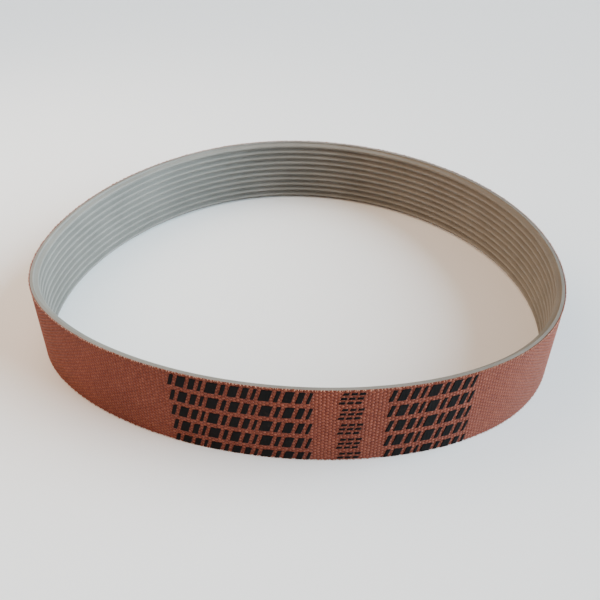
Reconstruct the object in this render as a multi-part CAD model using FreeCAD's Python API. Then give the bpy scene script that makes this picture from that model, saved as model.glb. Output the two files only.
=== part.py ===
import FreeCAD, Part
import math
import os

# Endless ribbed V belt, standing on one cut edge, relaxed into its free shape.
# Frame: X along the loop's longest span, Y across it, Z along the belt's width, which is
# parallel to the pulley shafts. The origin is the middle of the loop, at half width.
# All sizes are in millimetres. A section point is (depth, z), where depth is measured
# inwards from the outer face of the fabric.

# --- driving dimensions: length and width ---
PITCH_LENGTH = 400.0        # round the loop, along the centre of the tension cord
RIB_COUNT = 10
RIB_PITCH = 2.0
EDGE_MARGIN = 0.2           # flat land between the outermost groove centre and the cut edge

# --- driving dimensions: section ---
FABRIC_THICKNESS = 0.30
CORD_DEPTH = 0.65           # to the centre of the cord
CORD_DIAMETER = 0.45
CORD_SPACING = 1.0
CORD_TURNS = 20
CORD_FLATS = 8              # sides of the cord's outline, in place of a circle
ROOT_DEPTH = 1.00           # to the bottom of the grooves
RIB_HEIGHT = 1.20
RIB_ANGLE = 40.0            # included angle of a rib's two flanks, in degrees
RIB_TIP_WIDTH = 0.55
TIP_EASE = 0.20             # cut back along both sides of each corner of a rib's tip
ROOT_EASE = 0.20            # the same for each corner of a groove's bottom

# --- driving dimensions: free shape of the loop ---
# The radius of curvature is the mean radius times 1 plus a few waves round the loop. Each
# wave flattens the loop at one place per crest: two make an oval, three an egg and four a
# rounded square. One per turn is left out, because it would leave the loop open.
ARC_COUNT = 24
LOOP_WAVES = {              # waves per turn: (share of the mean radius, crest in degrees)
    2: (0.15, 85),
    3: (0.30, 25),
    4: (0.15, -15),
}

# --- derived sizes ---
HALF_WIDTH = RIB_COUNT * RIB_PITCH / 2 + EDGE_MARGIN
TIP_DEPTH = ROOT_DEPTH + RIB_HEIGHT
MEAN_RADIUS = PITCH_LENGTH / (2 * math.pi) + CORD_DEPTH
ARC_ANGLE = 2 * math.pi / ARC_COUNT
FLANK_RUN = RIB_HEIGHT * math.tan(math.radians(RIB_ANGLE / 2))
SEW_TOLERANCE = 1e-5


def direction(angle):
    """Unit vector in the XY plane."""
    return FreeCAD.Vector(math.cos(angle), math.sin(angle), 0)


def loop_arcs():
    """The outer face of the loop as tangent arcs: (centre, radius, start angle) each."""
    radii = []
    for i in range(ARC_COUNT):
        middle = (i + 0.5) * ARC_ANGLE
        waves = sum(share * math.cos(n * (middle - math.radians(crest)))
                    for n, (share, crest) in LOOP_WAVES.items())
        radii.append(MEAN_RADIUS * (1 + waves))
    centre = FreeCAD.Vector(0, 0, 0)
    arcs = []
    starts = []
    for i, radius in enumerate(radii):
        if i:
            centre = centre + direction(i * ARC_ANGLE) * (radii[i - 1] - radius)
        arcs.append((centre, radius, i * ARC_ANGLE))
        starts.append(centre + direction(i * ARC_ANGLE) * radius)
    # The loop is furthest out along X and Y where its outward direction is along X or Y.
    quarter = ARC_COUNT // 4
    middle = FreeCAD.Vector((starts[0].x + starts[2 * quarter].x) / 2,
                            (starts[quarter].y + starts[3 * quarter].y) / 2, 0)
    return [(c - middle, radius, angle) for c, radius, angle in arcs]


def sweep(section):
    """A closed polygon of section points carried round the whole loop, as one solid."""
    faces = []
    for centre, radius, angle in loop_arcs():
        points = [centre + direction(angle) * (radius - depth) + FreeCAD.Vector(0, 0, z)
                  for depth, z in section]
        for i, point in enumerate(points):
            edge = Part.makeLine(points[i - 1], point)
            swept = edge.revolve(centre, FreeCAD.Vector(0, 0, 1), math.degrees(ARC_ANGLE))
            faces.extend(swept.Faces)
    skin = Part.makeCompound(faces)
    skin.sewShape(SEW_TOLERANCE)
    solid = Part.Solid(Part.Shell(skin.Faces))
    if solid.Volume < 0:
        solid.reverse()
    return solid


def cord_heights():
    """Z of each turn of the cord, from the lower edge up."""
    return [(i - (CORD_TURNS - 1) / 2) * CORD_SPACING for i in range(CORD_TURNS)]


def cord_points(z, first, last):
    """Corners of a turn of the cord, numbered round it from its lowest point. The inner half
    of the cord comes first."""
    points = []
    for i in range(first, last + 1):
        turned = 2 * math.pi * i / CORD_FLATS
        points.append((CORD_DEPTH + CORD_DIAMETER / 2 * math.sin(turned),
                       z - CORD_DIAMETER / 2 * math.cos(turned)))
    return points


def cord_wall(inner_half):
    """The wall at cord depth, from the lower edge up, with a seat for half of each turn."""
    points = [(CORD_DEPTH, -HALF_WIDTH)]
    for z in cord_heights():
        if inner_half:
            points += cord_points(z, 0, CORD_FLATS // 2)
        else:
            points += reversed(cord_points(z, CORD_FLATS // 2, CORD_FLATS))
    return points + [(CORD_DEPTH, HALF_WIDTH)]


def towards(start, end, length):
    """The point that lies a length along the way from start to end."""
    share = length / math.dist(start, end)
    return (start[0] + (end[0] - start[0]) * share, start[1] + (end[1] - start[1]) * share)


def rib_face():
    """The ribbed face from the upper edge down, with the corners of the ribs eased."""
    corners = [(ROOT_DEPTH, HALF_WIDTH)]
    for i in range(RIB_COUNT):
        middle = ((RIB_COUNT - 1) / 2 - i) * RIB_PITCH
        tip = RIB_TIP_WIDTH / 2
        corners += [(ROOT_DEPTH, middle + tip + FLANK_RUN), (TIP_DEPTH, middle + tip),
                    (TIP_DEPTH, middle - tip), (ROOT_DEPTH, middle - tip - FLANK_RUN)]
    corners.append((ROOT_DEPTH, -HALF_WIDTH))
    points = [corners[0]]
    for before, corner, after in zip(corners, corners[1:], corners[2:]):
        ease = TIP_EASE if corner[0] == TIP_DEPTH else ROOT_EASE
        points += [towards(corner, before, ease), towards(corner, after, ease)]
    return points + [corners[-1]]


def back_fabric():
    """The woven cover on the outside of the loop."""
    return sweep([(0, -HALF_WIDTH), (0, HALF_WIDTH),
                  (FABRIC_THICKNESS, HALF_WIDTH), (FABRIC_THICKNESS, -HALF_WIDTH)])


def cushion_layer():
    """The layer that bonds the fabric to the cord, seated on the cord's outer half."""
    return sweep(cord_wall(inner_half=False)
                 + [(FABRIC_THICKNESS, HALF_WIDTH), (FABRIC_THICKNESS, -HALF_WIDTH)])


def tension_cord():
    """The load-carrying cord: its turns lie side by side across the width."""
    return Part.makeCompound([sweep(cord_points(z, 0, CORD_FLATS - 1)) for z in cord_heights()])


def ribbed_body():
    """The layer that carries the ribs, seated on the cord's inner half."""
    return sweep(cord_wall(inner_half=True) + rib_face())


def main():
    os.makedirs("parts", exist_ok=True)
    for make in (back_fabric, cushion_layer, tension_cord, ribbed_body):
        shape = make()
        shape.exportStep(f"parts/{make.__name__}.step")
        print(make.__name__, "valid", shape.isValid(), "solids", len(shape.Solids),
              "faces", len(shape.Faces), "mm3", round(shape.Volume, 1))


main()
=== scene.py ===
import itertools
import math
import random

import bpy
import numpy as np
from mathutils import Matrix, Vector


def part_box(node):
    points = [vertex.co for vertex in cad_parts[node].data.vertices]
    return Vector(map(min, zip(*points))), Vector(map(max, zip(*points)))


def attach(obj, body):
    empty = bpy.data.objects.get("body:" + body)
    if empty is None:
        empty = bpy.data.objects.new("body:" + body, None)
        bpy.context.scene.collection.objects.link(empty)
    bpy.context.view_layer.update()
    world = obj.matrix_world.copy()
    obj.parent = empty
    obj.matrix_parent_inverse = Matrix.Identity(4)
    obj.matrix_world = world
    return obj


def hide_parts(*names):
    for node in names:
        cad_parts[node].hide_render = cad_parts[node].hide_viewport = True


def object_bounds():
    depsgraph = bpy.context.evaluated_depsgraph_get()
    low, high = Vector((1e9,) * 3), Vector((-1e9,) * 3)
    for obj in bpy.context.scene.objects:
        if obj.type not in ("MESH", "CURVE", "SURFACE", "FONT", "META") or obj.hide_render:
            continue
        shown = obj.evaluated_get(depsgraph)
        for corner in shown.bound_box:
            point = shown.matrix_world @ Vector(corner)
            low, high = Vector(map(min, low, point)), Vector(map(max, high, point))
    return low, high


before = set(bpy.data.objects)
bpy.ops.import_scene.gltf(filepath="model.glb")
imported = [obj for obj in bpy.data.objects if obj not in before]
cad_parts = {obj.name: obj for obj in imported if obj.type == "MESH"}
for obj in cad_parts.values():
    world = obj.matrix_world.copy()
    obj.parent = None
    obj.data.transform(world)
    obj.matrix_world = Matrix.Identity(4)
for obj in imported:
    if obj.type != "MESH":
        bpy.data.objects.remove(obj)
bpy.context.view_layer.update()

# Lengths below are in millimetres. A place on the belt is (run, depth, z): run goes round the
# loop counter-clockwise along the outer face from the side facing +X, and depth goes inwards
# from the outer face.
MM = 0.001

# --- the belt, with the sizes of its CAD parts ---
PITCH_LENGTH = 400.0
CORD_DEPTH = 0.65
CORD_RADIUS = 0.225
CORD_SPACING = 1.0
CORD_TURNS = 20
CORD_SIDES = 8               # flat sides of the cord's outline
FABRIC_THICKNESS = 0.30
ROOT_DEPTH = 1.00
RIB_HEIGHT = 1.20
RIB_COUNT = 10
RIB_PITCH = 2.0
RIB_ANGLE = math.radians(40)
RIB_TIP_WIDTH = 0.55
ARC_COUNT = 24
# Waves of the loop's radius, by waves per turn: (share of the mean radius, crest in degrees).
LOOP_WAVES = {2: (0.15, 85), 3: (0.30, 25), 4: (0.15, -15)}

HALF_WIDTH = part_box("ribbed_body")[1].z / MM
TIP_DEPTH = ROOT_DEPTH + RIB_HEIGHT

# --- the finer shape of the ribs, softer than in the CAD part ---
TIP_ROUND = 0.36             # radius at each corner of a rib's tip
ROOT_ROUND = 0.36            # radius at each corner of a groove's bottom
ROUND_STEPS = 4              # straight steps in each rounded corner
RIB_STATIONS = 320           # sections round the loop
RIB_SHARP_ANGLE = 50         # degrees

# --- the weave ---
COLUMN_COUNT = 528           # even, so that neighbours alternate all the way round
COLUMN_PIECES = 3            # the columns are shared out to keep each piece light
STITCH_PITCH = 0.90
STITCH_STEPS = 4             # sections of a yarn to a stitch
STITCH_DRIFT = 0.25          # most that a column is out of step, where 2 pi is one stitch
YARN_HALF_WIDTH = 0.31
YARN_HALF_HEIGHT = 0.085
YARN_LIFT = 0.14             # how much deeper a yarn lies where it dives between stitches
YARN_NARROW = 0.62           # share of its half width that it has there
YARN_SWELL = 0.50            # share that it gains by the middle of a stitch
YARN_SWAY = 0.15             # how far it sways round the loop within a stitch
YARN_SLANT = 0.45            # drop from one side of it to the other, as a share of its width
# A yarn's outline, in shares of its half width and half height.
YARN_OUTLINE = [(-1.0, -0.2), (-0.62, 0.75), (0.62, 0.75), (1.0, -0.2), (0.0, -0.7)]
FRAY_LENGTH = 0.16           # most that a yarn stands past the cut edge

GROUND_DEPTH = 0.13          # of the furrows between the ridges
GROUND_RIDGE = 0.035         # height of a ridge
RIDGES_PER_STITCH = 2
RIDGE_STEPS = 4
GROUND_STATIONS = 240        # sections round the loop
GROUND_SHARP_ANGLE = 60      # degrees

# --- the pale cut ends of the yarns ---
STRANDS_PER_COLUMN = 2
STRAND_SIDES = 4
STRAND_RADIUS = 0.055
STRAND_TAPER = 0.35          # share of the radius that is lost by the tip
STRAND_DEPTH = 0.06
STRAND_ROOT = 0.10           # how far inside the cut edge a strand starts
STRAND_PLACES = (0.15, 0.85)     # least and most, as shares of the column's width
STRAND_LENGTHS = (0.10, 0.34)    # least and most past the cut edge
STRAND_LEANS = (-0.12, 0.12)     # of the tip, round the loop
STRAND_SPLAYS = (-0.02, 0.10)    # of the tip, outwards

random.seed(7)


# ---------------------------------------------------------------- the loop's plan shape
def loop_arcs():
    """Centres, radii and lengths of the tangent arcs that the outer face follows."""
    mean = PITCH_LENGTH / (2 * math.pi) + CORD_DEPTH
    step = 2 * math.pi / ARC_COUNT
    middles = (np.arange(ARC_COUNT) + 0.5) * step
    waves = sum(share * np.cos(n * (middles - math.radians(crest)))
                for n, (share, crest) in LOOP_WAVES.items())
    radii = mean * (1 + waves)
    starts = np.arange(ARC_COUNT) * step
    outward = np.stack([np.cos(starts), np.sin(starts)], 1)
    shifts = outward[1:] * (radii[:-1] - radii[1:])[:, None]
    centres = np.concatenate([np.zeros((1, 2)), np.cumsum(shifts, 0)])
    edges = centres + outward * radii[:, None]
    quarter = ARC_COUNT // 4
    middle = np.array([(edges[0, 0] + edges[2 * quarter, 0]) / 2,
                       (edges[quarter, 1] + edges[3 * quarter, 1]) / 2])
    return centres - middle, radii, radii * step


CENTRES, RADII, ARC_LENGTHS = loop_arcs()
ARC_STARTS = np.concatenate([[0], np.cumsum(ARC_LENGTHS)])
LOOP_LENGTH = ARC_STARTS[-1]


def place(run, depth, z):
    """Points in metres, for arrays of run, depth and z in millimetres."""
    run, depth, z = np.broadcast_arrays(np.mod(run, LOOP_LENGTH), depth, z)
    arc = np.clip(np.searchsorted(ARC_STARTS, run, side="right") - 1, 0, ARC_COUNT - 1)
    angle = arc * 2 * math.pi / ARC_COUNT + (run - ARC_STARTS[arc]) / RADII[arc]
    outward = np.stack([np.cos(angle), np.sin(angle)], -1)
    flat = CENTRES[arc] + outward * (RADII[arc] - depth)[..., None]
    return np.concatenate([flat, z[..., None]], -1) * MM


# ---------------------------------------------------------------- mesh helpers
def add_piece(name, points, faces, material):
    """A smooth-shaded mesh piece of the belt. It rides on the belt's one body."""
    mesh = bpy.data.meshes.new(name)
    mesh.from_pydata(np.asarray(points).reshape(-1, 3).tolist(), [], faces)
    mesh.validate()
    mesh.materials.append(material)
    mesh.polygons.foreach_set("use_smooth", [True] * len(mesh.polygons))
    piece = bpy.data.objects.new(name, mesh)
    bpy.context.scene.collection.objects.link(piece)
    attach(piece, "root")
    return piece


def grid_faces(rows, columns, start=0, wrap_rows=False, wrap_columns=False):
    """Quads between neighbouring points of a rows x columns grid."""
    faces = []
    for i in range(rows if wrap_rows else rows - 1):
        next_i = (i + 1) % rows
        for j in range(columns if wrap_columns else columns - 1):
            next_j = (j + 1) % columns
            faces.append((start + i * columns + j, start + next_i * columns + j,
                          start + next_i * columns + next_j, start + i * columns + next_j))
    return faces


def swept_ring(name, section, stations, material):
    """A closed section of (depth, z) points carried round the whole loop."""
    run = np.linspace(0, LOOP_LENGTH, stations, endpoint=False)[:, None]
    depth = np.array([p[0] for p in section])[None, :]
    z = np.array([p[1] for p in section])[None, :]
    points = place(run, depth, z)
    faces = grid_faces(stations, len(section), wrap_rows=True, wrap_columns=True)
    return add_piece(name, points, faces, material)


def sharpen_edges(piece, degrees):
    """Keeps edges turned by more than this angle crisp on a smooth-shaded piece."""
    piece.data.set_sharp_from_angle(angle=math.radians(degrees))


# ---------------------------------------------------------------- material helpers
def new_material(name):
    """A new material with its nodes, its links and its shader."""
    material = bpy.data.materials.new(name)
    material.use_nodes = True
    nodes = material.node_tree.nodes
    return material, nodes, material.node_tree.links, nodes["Principled BSDF"]


def noise(nodes, links, scale, detail=4.0, stretch=None):
    """A noise texture in the belt's own space, where scale 1000 is one feature per mm."""
    coordinates = nodes.new("ShaderNodeTexCoord")
    texture = nodes.new("ShaderNodeTexNoise")
    texture.inputs["Scale"].default_value = scale
    texture.inputs["Detail"].default_value = detail
    if stretch:
        mapping = nodes.new("ShaderNodeMapping")
        mapping.inputs["Scale"].default_value = stretch
        links.new(coordinates.outputs["Object"], mapping.inputs["Vector"])
        links.new(mapping.outputs["Vector"], texture.inputs["Vector"])
    else:
        links.new(coordinates.outputs["Object"], texture.inputs["Vector"])
    return texture.outputs["Fac"]


def ramp(nodes, links, value, stops):
    """A colour ramp through (position, colour) stops."""
    node = nodes.new("ShaderNodeValToRGB")
    while len(node.color_ramp.elements) < len(stops):
        node.color_ramp.elements.new(0.5)
    for element, (position, colour) in zip(node.color_ramp.elements, stops):
        element.position = position
        element.color = (*colour, 1)
    links.new(value, node.inputs["Fac"])
    return node.outputs["Color"]


def spread(nodes, links, value, low, high):
    """The value's middle range mapped onto low to high."""
    node = nodes.new("ShaderNodeMapRange")
    node.inputs["From Min"].default_value = 0.3
    node.inputs["From Max"].default_value = 0.7
    node.inputs["To Min"].default_value = low
    node.inputs["To Max"].default_value = high
    links.new(value, node.inputs["Value"])
    return node.outputs["Result"]


def multiply(nodes, links, first, second):
    """Two colour sockets multiplied. A Mix node's colour inputs are its sockets 6 and 7, and
    its colour output is socket 2."""
    node = nodes.new("ShaderNodeMix")
    node.data_type = "RGBA"
    node.blend_type = "MULTIPLY"
    node.inputs["Factor"].default_value = 1.0
    links.new(first, node.inputs[6])
    links.new(second, node.inputs[7])
    return node.outputs[2]


def bump(nodes, links, shader, height, strength, distance):
    """Fine relief on the shader's surface. Distance is its height in metres at full strength."""
    node = nodes.new("ShaderNodeBump")
    node.inputs["Strength"].default_value = strength
    node.inputs["Distance"].default_value = distance
    links.new(height, node.inputs["Height"])
    links.new(node.outputs["Normal"], shader.inputs["Normal"])


# ---------------------------------------------------------------- materials
def cast_polyurethane():
    """Light grey elastomer: satin, faintly cloudy, with dusty and rubbed patches."""
    material, nodes, links, shader = new_material("cast_polyurethane")
    cloud = noise(nodes, links, scale=90, detail=5)
    grain = noise(nodes, links, scale=2600, detail=3)
    base = ramp(nodes, links, cloud, [(0.30, (0.172, 0.163, 0.145)), (0.55, (0.192, 0.182, 0.162)),
                                      (0.75, (0.214, 0.203, 0.181))])
    speckle = ramp(nodes, links, grain, [(0.25, (0.90, 0.90, 0.89)), (0.7, (1, 1, 1))])
    links.new(multiply(nodes, links, base, speckle), shader.inputs["Base Color"])
    links.new(spread(nodes, links, cloud, low=0.50, high=0.66), shader.inputs["Roughness"])
    shader.inputs["Specular IOR Level"].default_value = 0.30
    shader.inputs["Subsurface Weight"].default_value = 0.12
    shader.inputs["Subsurface Radius"].default_value = (1.0, 0.9, 0.8)
    shader.inputs["Subsurface Scale"].default_value = 0.0006
    bump(nodes, links, shader, grain, strength=0.25, distance=0.00003)
    return material


def yarn(name, dark, middle, light):
    """Matt dyed yarn with fine filaments and a soft sheen."""
    material, nodes, links, shader = new_material(name)
    patches = noise(nodes, links, scale=55, detail=4)
    stitches = noise(nodes, links, scale=1500, detail=2)
    filaments = noise(nodes, links, scale=1000, detail=2, stretch=(9, 9, 1))
    base = ramp(nodes, links, stitches, [(0.30, dark), (0.52, middle), (0.74, light)])
    tone = ramp(nodes, links, patches, [(0.3, (0.86, 0.84, 0.84)), (0.7, (1.0, 1.0, 1.0))])
    links.new(multiply(nodes, links, base, tone), shader.inputs["Base Color"])
    links.new(spread(nodes, links, filaments, low=0.72, high=0.92), shader.inputs["Roughness"])
    shader.inputs["Sheen Weight"].default_value = 0.06
    shader.inputs["Sheen Roughness"].default_value = 0.45
    shader.inputs["Specular IOR Level"].default_value = 0.25
    bump(nodes, links, shader, filaments, strength=0.5, distance=0.00004)
    return material


def printing_ink():
    """Black ink that has soaked into the weave: matt, thin in places."""
    material, nodes, links, shader = new_material("printing_ink")
    wear = noise(nodes, links, scale=900, detail=4)
    base = ramp(nodes, links, wear, [(0.35, (0.004, 0.004, 0.0045)), (0.62, (0.007, 0.0065, 0.0065)),
                                     (0.80, (0.022, 0.015, 0.013))])
    links.new(base, shader.inputs["Base Color"])
    links.new(spread(nodes, links, wear, low=0.75, high=0.95), shader.inputs["Roughness"])
    shader.inputs["Specular IOR Level"].default_value = 0.08
    bump(nodes, links, shader, wear, strength=0.4, distance=0.00003)
    return material


# ---------------------------------------------------------------- ribbed body
def arc_points(corner, before, after, radius):
    """Points along the arc that rounds a corner between two straight sides."""
    corner, before, after = (np.array(p, float) for p in (corner, before, after))
    back = (before - corner) / np.linalg.norm(before - corner)
    ahead = (after - corner) / np.linalg.norm(after - corner)
    half = math.acos(float(back @ ahead)) / 2
    bisector = (back + ahead) / np.linalg.norm(back + ahead)
    centre = corner + bisector * radius / math.sin(half)
    first = corner + back * radius / math.tan(half) - centre
    last = corner + ahead * radius / math.tan(half) - centre
    points = []
    for i in range(ROUND_STEPS + 1):
        mixed = first * (ROUND_STEPS - i) + last * i
        points.append(tuple(centre + mixed / np.linalg.norm(mixed) * radius))
    return points


def rib_section():
    """The ribbed body's outline: the wall seated on the cord, then the ribs."""
    points = [(CORD_DEPTH, -HALF_WIDTH)]
    for turn in range(CORD_TURNS):
        z = (turn - (CORD_TURNS - 1) / 2) * CORD_SPACING
        for i in range(CORD_SIDES // 2 + 1):
            angle = 2 * math.pi * i / CORD_SIDES
            points.append((CORD_DEPTH + CORD_RADIUS * math.sin(angle),
                           z - CORD_RADIUS * math.cos(angle)))
    points.append((CORD_DEPTH, HALF_WIDTH))
    tip = RIB_TIP_WIDTH / 2
    run = RIB_HEIGHT * math.tan(RIB_ANGLE / 2)
    corners = [(ROOT_DEPTH, HALF_WIDTH)]
    for i in range(RIB_COUNT):
        middle = ((RIB_COUNT - 1) / 2 - i) * RIB_PITCH
        corners += [(ROOT_DEPTH, middle + tip + run), (TIP_DEPTH, middle + tip),
                    (TIP_DEPTH, middle - tip), (ROOT_DEPTH, middle - tip - run)]
    corners.append((ROOT_DEPTH, -HALF_WIDTH))
    points.append(corners[0])
    for before, corner, after in zip(corners, corners[1:], corners[2:]):
        radius = TIP_ROUND if corner[0] == TIP_DEPTH else ROOT_ROUND
        points += arc_points(corner, before, after, radius)
    points.append(corners[-1])
    return points


def make_ribbed_body(material):
    """The cast body with softly rounded ribs, in place of the plainer CAD one."""
    piece = swept_ring("ribbed_casting", rib_section(), RIB_STATIONS, material)
    sharpen_edges(piece, RIB_SHARP_ANGLE)
    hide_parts("ribbed_body")


# ---------------------------------------------------------------- woven back
def make_ground(material):
    """The cloth's ground: low ridges that run round the loop."""
    ridges = round(2 * HALF_WIDTH / (STITCH_PITCH / RIDGES_PER_STITCH))
    samples = ridges * RIDGE_STEPS
    section = [(FABRIC_THICKNESS, HALF_WIDTH), (FABRIC_THICKNESS, -HALF_WIDTH)]
    for i in range(samples + 1):
        z = -HALF_WIDTH + 2 * HALF_WIDTH * i / samples
        section.append((GROUND_DEPTH - GROUND_RIDGE * math.sin(math.pi * i / RIDGE_STEPS) ** 2, z))
    section.reverse()
    piece = swept_ring("fabric_ground", section, GROUND_STATIONS, material)
    sharpen_edges(piece, GROUND_SHARP_ANGLE)
    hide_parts("back_fabric")


def make_columns(name, columns, material):
    """Yarns that cross the belt's width in slanted stitches, one column after another."""
    pitch = LOOP_LENGTH / COLUMN_COUNT
    sides = len(YARN_OUTLINE)
    across = np.array([p[0] for p in YARN_OUTLINE])
    up = np.array([p[1] for p in YARN_OUTLINE])
    all_points = []
    faces = []
    for column in columns:
        low = -HALF_WIDTH - FRAY_LENGTH * random.random()
        high = HALF_WIDTH + FRAY_LENGTH * random.random()
        steps = round((high - low) / (STITCH_PITCH / STITCH_STEPS))
        z = np.linspace(low, high, steps + 1)[:, None]
        drift = random.uniform(-STITCH_DRIFT, STITCH_DRIFT)
        phase = 2 * math.pi * (z / STITCH_PITCH + 0.5 * (column % 2)) + drift
        lift = 0.5 + 0.5 * np.cos(phase)
        width = YARN_HALF_WIDTH * (YARN_NARROW + YARN_SWELL * lift)
        sway = YARN_SWAY * np.sin(phase)
        run = (column + 0.5) * pitch + sway + across[None, :] * width
        slant = -across[None, :] * width * YARN_SLANT
        depth = YARN_HALF_HEIGHT * (1 - up[None, :]) + YARN_LIFT * (1 - lift)
        start = sum(len(p) for p in all_points)
        all_points.append(place(run, depth, z + slant).reshape(-1, 3))
        faces += grid_faces(steps + 1, sides, start, wrap_columns=True)
        faces.append(tuple(start + k for k in range(sides)))
        faces.append(tuple(start + steps * sides + k for k in reversed(range(sides))))
    return add_piece(name, np.concatenate(all_points), faces, material)


def strand_points(run, side):
    """One short tapered strand: the corners of its foot, then those of its tip."""
    length = random.uniform(*STRAND_LENGTHS)
    lean = random.uniform(*STRAND_LEANS)
    splay = random.uniform(*STRAND_SPLAYS)
    points = []
    for end in range(2):
        radius = STRAND_RADIUS * (1 - STRAND_TAPER * end)
        z = side * (HALF_WIDTH - STRAND_ROOT + (length + STRAND_ROOT) * end)
        for corner in range(STRAND_SIDES):
            angle = 2 * math.pi * corner / STRAND_SIDES
            points.append(place(run + lean * end + radius * math.cos(angle),
                                STRAND_DEPTH - splay * end + radius * math.sin(angle), z))
    return np.array(points).reshape(-1, 3)


def make_yarn_ends(material):
    """Pale cut ends of the yarns, a small brush of them at each column on both edges."""
    pitch = LOOP_LENGTH / COLUMN_COUNT
    all_points = []
    faces = []
    for side in (-1, 1):
        for strand in range(COLUMN_COUNT * STRANDS_PER_COLUMN):
            column = strand // STRANDS_PER_COLUMN
            foot = len(all_points) * 2 * STRAND_SIDES
            tip = foot + STRAND_SIDES
            all_points.append(strand_points((column + random.uniform(*STRAND_PLACES)) * pitch, side))
            strand_faces = grid_faces(2, STRAND_SIDES, foot, wrap_columns=True)
            strand_faces.append(tuple(range(foot, tip)))
            strand_faces.append(tuple(reversed(range(tip, tip + STRAND_SIDES))))
            faces += strand_faces if side > 0 else [tuple(reversed(face)) for face in strand_faces]
    return add_piece("fabric_yarn_ends", np.concatenate(all_points), faces, material)


# ---------------------------------------------------------------- printed marks
MARK_ROWS = 5
MARK_ROW_PITCH = 4.4
MARK_HEIGHT = 3.1
FIRST_ROW_MIDDLE = 2.1       # from the upper edge to the middle of the first row
LEAST_MARK = 0.05            # a mark cut by the edge to less than this share is left out
MARK_LEAN = 0.9              # how far a stripe's head stands to the right of its foot
MARK_GRID = 0.22             # longest side of the small faces that follow the weave
INK_RISE = 0.035             # how far the ink's face stands out past the belt's outer face
INK_SINK = 0.03              # how far the ink's back lies inside the belt's outer face
INK_SAG = 0.02               # how far both sink between two columns of yarn

# A printed block is a run of plain leaning stripes whose widths repeat in a cycle.
STRIPE_WIDTHS = [0.9, 1.9, 1.3, 0.7, 2.3]
STRIPE_GAP = 0.85
STRIPE_BLOCKS = [(279.6, 309.8), (325.8, 346.4)]     # where the blocks start and end

# Between them stands a block of short level lines.
LINE_BLOCK = (315.6, 320.3)
LINE_LENGTH = 1.25
LINE_GAP = 0.42
LINE_HEIGHTS = [(0.0, 0.2), (0.4, 0.6), (0.8, 1.0)]


def mark_shapes():
    """Every stripe and line of a row, as (left, right, foot, head)."""
    shapes = []
    for left, end in STRIPE_BLOCKS:
        for width in itertools.cycle(STRIPE_WIDTHS):
            if left + width > end:
                break
            shapes.append((left, left + width, 0.0, 1.0))
            left += width + STRIPE_GAP
    left = LINE_BLOCK[0]
    while left + LINE_LENGTH <= LINE_BLOCK[1]:
        shapes += [(left, left + LINE_LENGTH, foot, head) for foot, head in LINE_HEIGHTS]
        left += LINE_LENGTH + LINE_GAP
    return shapes


def ink_patch(corners, points, faces):
    """A four-sided patch of ink laid over the weave, added to the points and faces. Its
    (run, z) corners are low left, low right, high right and high left."""
    low_left, low_right, high_right, high_left = (np.array(corner, float) for corner in corners)
    wide = max(1, math.ceil(np.linalg.norm(low_right - low_left) / MARK_GRID))
    high = max(1, math.ceil(np.linalg.norm(high_left - low_left) / MARK_GRID))
    u = np.linspace(0, 1, wide + 1)[:, None, None]
    v = np.linspace(0, 1, high + 1)[None, :, None]
    flat = (low_left * (1 - u) * (1 - v) + low_right * u * (1 - v) + high_right * u * v
            + high_left * (1 - u) * v)
    column = 2 * math.pi * flat[..., 0] * COLUMN_COUNT / LOOP_LENGTH
    sag = INK_SAG * (0.5 + 0.5 * np.cos(column))
    start = sum(len(p) for p in points)
    for depth in (sag - INK_RISE, sag + INK_SINK):
        points.append(place(flat[..., 0], depth, flat[..., 1]).reshape(-1, 3))
    per_side = high + 1
    size = (wide + 1) * per_side
    front = grid_faces(wide + 1, per_side, start)
    faces += front
    faces += [tuple(reversed([corner + size for corner in face])) for face in front]
    rim = ([i * per_side for i in range(wide)] + [wide * per_side + j for j in range(high)]
           + [i * per_side + high for i in range(wide, 0, -1)] + list(range(high, 0, -1)))
    for k, first in enumerate(rim):
        first += start
        second = rim[(k + 1) % len(rim)] + start
        faces.append((second, first, first + size, second + size))


def make_marks(material):
    """Rows of plain leaning stripes printed round the front, the last cut by the edge."""
    points = []
    faces = []
    for row in range(MARK_ROWS):
        foot_z = HALF_WIDTH - FIRST_ROW_MIDDLE - MARK_HEIGHT / 2 - row * MARK_ROW_PITCH
        edge = (-HALF_WIDTH - foot_z) / MARK_HEIGHT
        for left, right, foot, head in mark_shapes():
            foot = max(foot, edge)
            if head - foot < LEAST_MARK:
                continue
            corners = [(left, foot), (right, foot), (right, head), (left, head)]
            ink_patch([(run + MARK_LEAN * share, foot_z + share * MARK_HEIGHT)
                       for run, share in corners], points, faces)
    return add_piece("ink_marks", np.concatenate(points), faces, material)


# ---------------------------------------------------------------- studio
FLOOR_HALF_SIDE = 3000.0
FLOOR_GAP = 0.2              # between the belt and the floor
CAMERA_PLACE = (0.7, -157.8, 104.5)
CAMERA_TILT = 36.55          # degrees down from level
CAMERA_ROLL = 0.75           # degrees
CAMERA_LENS = 40.65
SENSOR_WIDTH = 36
NEAREST_SEEN = 10            # nothing nearer than this to the camera is drawn


def add_light(name, towards, strength, colour, softness):
    """A soft light from far away. Towards is the direction to the light, strength is how
    bright it alone makes a white card that faces it, and softness is its width in degrees."""
    data = bpy.data.lights.new(name, "SUN")
    data.energy = strength * math.pi
    data.color = colour
    data.angle = math.radians(softness)
    light = bpy.data.objects.new(name, data)
    light.rotation_euler = Vector(towards).to_track_quat("Z", "Y").to_euler()
    bpy.context.scene.collection.objects.link(light)


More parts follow.
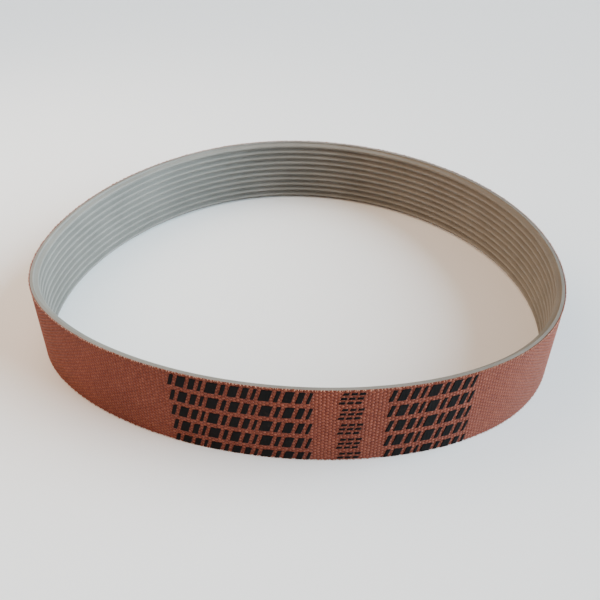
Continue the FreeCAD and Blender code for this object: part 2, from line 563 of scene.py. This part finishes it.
def add_softbox(name, location, size, strength, colour):
    """A square light that hangs near the belt and points at its middle. Strength is how
    bright it alone makes a white card there that faces it."""
    data = bpy.data.lights.new(name, "AREA")
    data.size = size * MM
    data.energy = strength * (math.pi * Vector(location).length * MM) ** 2
    data.color = colour
    light = bpy.data.objects.new(name, data)
    light.location = Vector(location) * MM
    light.rotation_euler = Vector(location).to_track_quat("Z", "Y").to_euler()
    light.visible_camera = False
    bpy.context.scene.collection.objects.link(light)


def make_floor():
    """A plain pale floor just under the belt."""
    side = FLOOR_HALF_SIDE * MM
    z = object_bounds()[0].z - FLOOR_GAP * MM
    corners = [(-side, -side, z), (side, -side, z), (side, side, z), (-side, side, z)]
    mesh = bpy.data.meshes.new("studio_floor")
    mesh.from_pydata(corners, [], [(0, 1, 2, 3)])
    material, _, _, shader = new_material("pale_floor")
    shader.inputs["Base Color"].default_value = (0.92, 0.92, 0.92, 1)
    shader.inputs["Roughness"].default_value = 0.9
    mesh.materials.append(material)
    floor = bpy.data.objects.new("studio_floor", mesh)
    bpy.context.scene.collection.objects.link(floor)


def make_world():
    """An even, slightly warm surround that fills the shadows."""
    world = bpy.data.worlds.new("studio")
    world.use_nodes = True
    background = world.node_tree.nodes["Background"]
    background.inputs["Color"].default_value = (1.0, 0.94, 0.87, 1)
    background.inputs["Strength"].default_value = 0.33
    bpy.context.scene.world = world


def make_camera():
    """The camera, in front of the belt and above it, tilted down and rolled slightly."""
    data = bpy.data.cameras.new("camera")
    data.sensor_width = SENSOR_WIDTH
    data.lens = CAMERA_LENS
    data.clip_start = NEAREST_SEEN * MM
    camera = bpy.data.objects.new("camera", data)
    camera.location = Vector(CAMERA_PLACE) * MM
    camera.rotation_euler = (math.pi / 2 - math.radians(CAMERA_TILT), 0, 0)
    camera.rotation_euler.rotate_axis("Z", math.radians(CAMERA_ROLL))
    bpy.context.scene.collection.objects.link(camera)
    bpy.context.scene.camera = camera


def recolour(node, material):
    """Gives a CAD node that keeps its own shape a new material."""
    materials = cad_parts[node].data.materials
    materials.clear()
    materials.append(material)


def main():
    """The studio, then the belt."""
    make_camera()
    make_world()
    make_floor()
    add_softbox("overhead", location=(-120, 40, 175), size=230, strength=1.00, colour=(1.0, 0.85, 0.68))
    add_light("key_right", towards=(1.0, -0.04, 0.34), strength=4.10, colour=(0.72, 0.89, 1.0), softness=65)
    add_light("fill_left", towards=(-0.98, -0.22, 0.30), strength=0.72, colour=(1.0, 0.48, 0.18), softness=90)

    polyurethane = cast_polyurethane()
    make_ribbed_body(polyurethane)
    recolour("cushion_layer", polyurethane)
    cord = yarn("cord_yarn", (0.55, 0.52, 0.44), (0.66, 0.63, 0.55), (0.75, 0.72, 0.65))
    recolour("tension_cord", cord)

    ground = yarn("ground_yarn", (0.085, 0.014, 0.007), (0.115, 0.021, 0.011), (0.15, 0.034, 0.019))
    rust = yarn("rust_yarn", (0.150, 0.032, 0.015), (0.195, 0.048, 0.024), (0.27, 0.082, 0.047))
    pale = yarn("cut_yarn", (0.48, 0.24, 0.15), (0.60, 0.32, 0.21), (0.72, 0.44, 0.31))
    make_ground(ground)
    share = COLUMN_COUNT // COLUMN_PIECES
    for k in range(COLUMN_PIECES):
        make_columns(f"fabric_yarns_{k + 1}", range(k * share, (k + 1) * share), rust)
    make_yarn_ends(pale)
    make_marks(printing_ink())


main()
